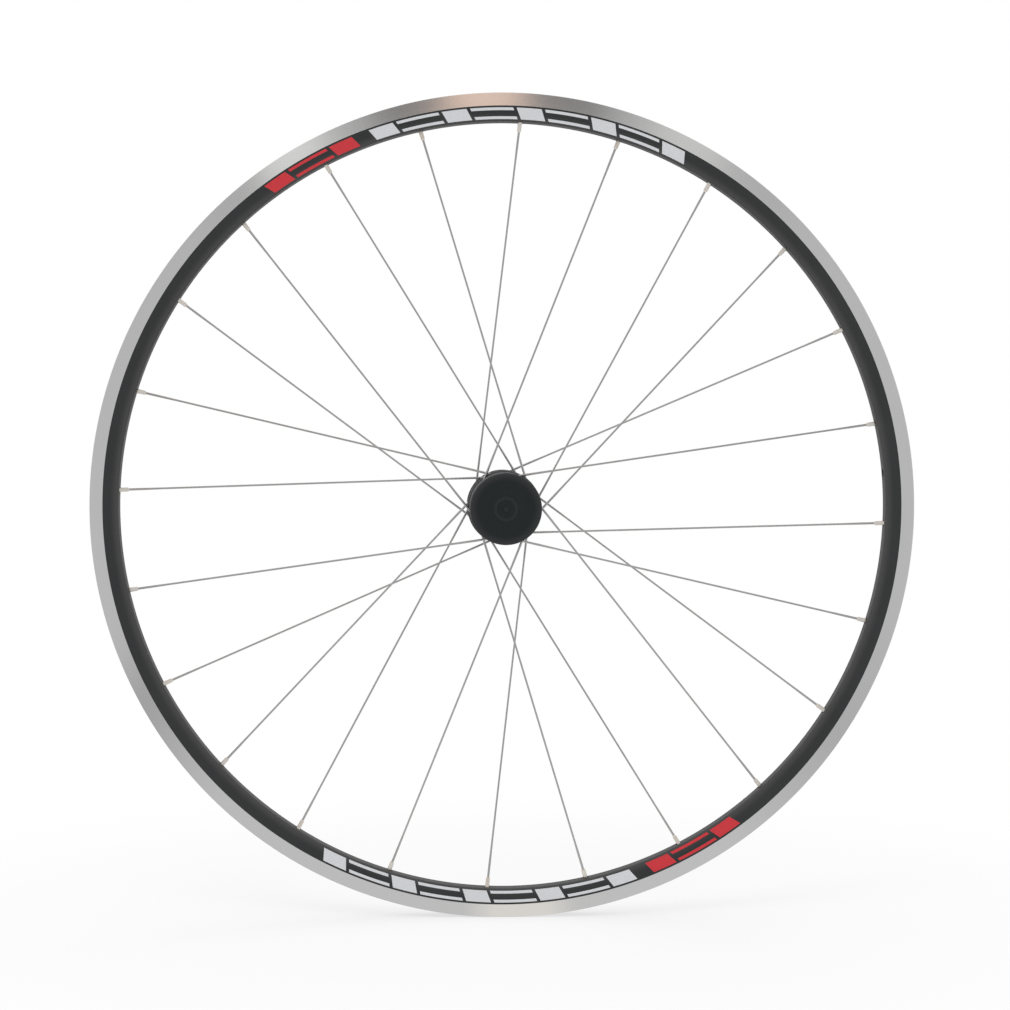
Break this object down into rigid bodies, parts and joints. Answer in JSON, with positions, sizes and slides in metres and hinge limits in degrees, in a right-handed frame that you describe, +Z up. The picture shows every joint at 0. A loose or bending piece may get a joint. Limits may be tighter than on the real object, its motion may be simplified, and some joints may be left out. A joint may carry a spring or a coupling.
{
  "type": "bicycle wheel",
  "caption": "Rear road bicycle wheel for rim brakes: hooked alloy rim, tangentially laced steel spokes, ratcheting splined freehub and a push-on freehub cover.",
  "frame": {"origin": "centre of the axle's bore, where it crosses the middle plane of the rim", "axes": "+Y along the axle towards the left (non-drive) side, +Z up, +X the way the bicycle travels; the drive side faces -Y"},
  "size_m": [0.6335, 0.1444, 0.6336],
  "materials": {
    "rim_black": "black anodised, brake tracks machined bright",
    "spoke_steel": "drawn stainless wire",
    "nipple_silver": "nickel plated",
    "hub_black": "black anodised",
    "axle_alloy": "turned",
    "bearing_steel": "ground",
    "freehub_steel": "zinc plated",
    "seal_rubber": "matt",
    "cover_black": "satin moulded"
  },
  "bodies": {
    "axle_set": {"axle": "axle_alloy", "end_cap_left": "axle_alloy", "end_cap_right": "axle_alloy", "spacer_hub": "axle_alloy", "spacer_freehub_inner": "axle_alloy", "hub_left_inner_ring": "bearing_steel", "hub_right_inner_ring": "bearing_steel", "freehub_inboard_inner_ring": "bearing_steel", "freehub_outboard_inner_ring": "bearing_steel", "seal_left": "seal_rubber"},
    "wheel": {"rim": "rim_black", "nipples": "nipple_silver", "spoke_drive_01": "spoke_steel", "spoke_drive_02": "spoke_steel", "spoke_drive_03": "spoke_steel", "spoke_drive_04": "spoke_steel", "spoke_drive_05": "spoke_steel", "spoke_drive_06": "spoke_steel", "spoke_drive_07": "spoke_steel", "spoke_drive_08": "spoke_steel", "spoke_drive_09": "spoke_steel", "spoke_drive_10": "spoke_steel", "spoke_drive_11": "spoke_steel", "spoke_drive_12": "spoke_steel", "spoke_left_01": "spoke_steel", "spoke_left_02": "spoke_steel", "spoke_left_03": "spoke_steel", "spoke_left_04": "spoke_steel", "spoke_left_05": "spoke_steel", "spoke_left_06": "spoke_steel", "spoke_left_07": "spoke_steel", "spoke_left_08": "spoke_steel", "spoke_left_09": "spoke_steel", "spoke_left_10": "spoke_steel", "spoke_left_11": "spoke_steel", "spoke_left_12": "spoke_steel", "hub_shell": "hub_black", "ratchet_ring": "freehub_steel", "hub_left_outer_ring": "bearing_steel", "hub_right_outer_ring": "bearing_steel"},
    "freehub": {"freehub_body": "freehub_steel", "freehub_inboard_outer_ring": "bearing_steel", "freehub_outboard_outer_ring": "bearing_steel", "spacer_freehub_outer": "axle_alloy", "seal_freehub": "seal_rubber", "pawl_springs": "freehub_steel"},
    "pawl_a": {"pawl_1": "freehub_steel"},
    "pawl_b": {"pawl_2": "freehub_steel"},
    "pawl_c": {"pawl_3": "freehub_steel"},
    "cover": {"freehub_cover": "cover_black"}
  },
  "joints": [
    {"name": "wheel_spin", "type": "hinge", "parent": "axle_set", "child": "wheel", "pos_m": [0, 0, 0], "axis": [0, 1, 0], "continuous": true},
    {"name": "freehub_spin", "type": "hinge", "parent": "axle_set", "child": "freehub", "pos_m": [0, 0, 0], "axis": [0, 1, 0], "continuous": true},
    {"name": "pawl_1_lift", "type": "hinge", "parent": "freehub", "child": "pawl_a", "pos_m": [0.01091, -0.0212, 0.0063], "axis": [0, 1, 0], "range_deg": [0, 10], "stiffness_Nm_per_rad": 0.002, "springref_deg": -20.05},
    {"name": "pawl_2_lift", "type": "hinge", "parent": "freehub", "child": "pawl_b", "pos_m": [-0.01091, -0.0212, 0.0063], "axis": [0, 1, 0], "range_deg": [0, 10], "stiffness_Nm_per_rad": 0.002, "springref_deg": -20.05},
    {"name": "pawl_3_lift", "type": "hinge", "parent": "freehub", "child": "pawl_c", "pos_m": [0, -0.0212, -0.0126], "axis": [0, 1, 0], "range_deg": [0, 10], "stiffness_Nm_per_rad": 0.002, "springref_deg": -20.05},
    {"name": "cover_pull", "type": "slide", "parent": "freehub", "child": "cover", "axis": [0, -1, 0], "range_m": [0, 0.06]}
  ],
  "couplings": [
    {"joint": "pawl_2_lift", "follows": "pawl_1_lift", "ratio": 1},
    {"joint": "pawl_3_lift", "follows": "pawl_1_lift", "ratio": 1}
  ]
}
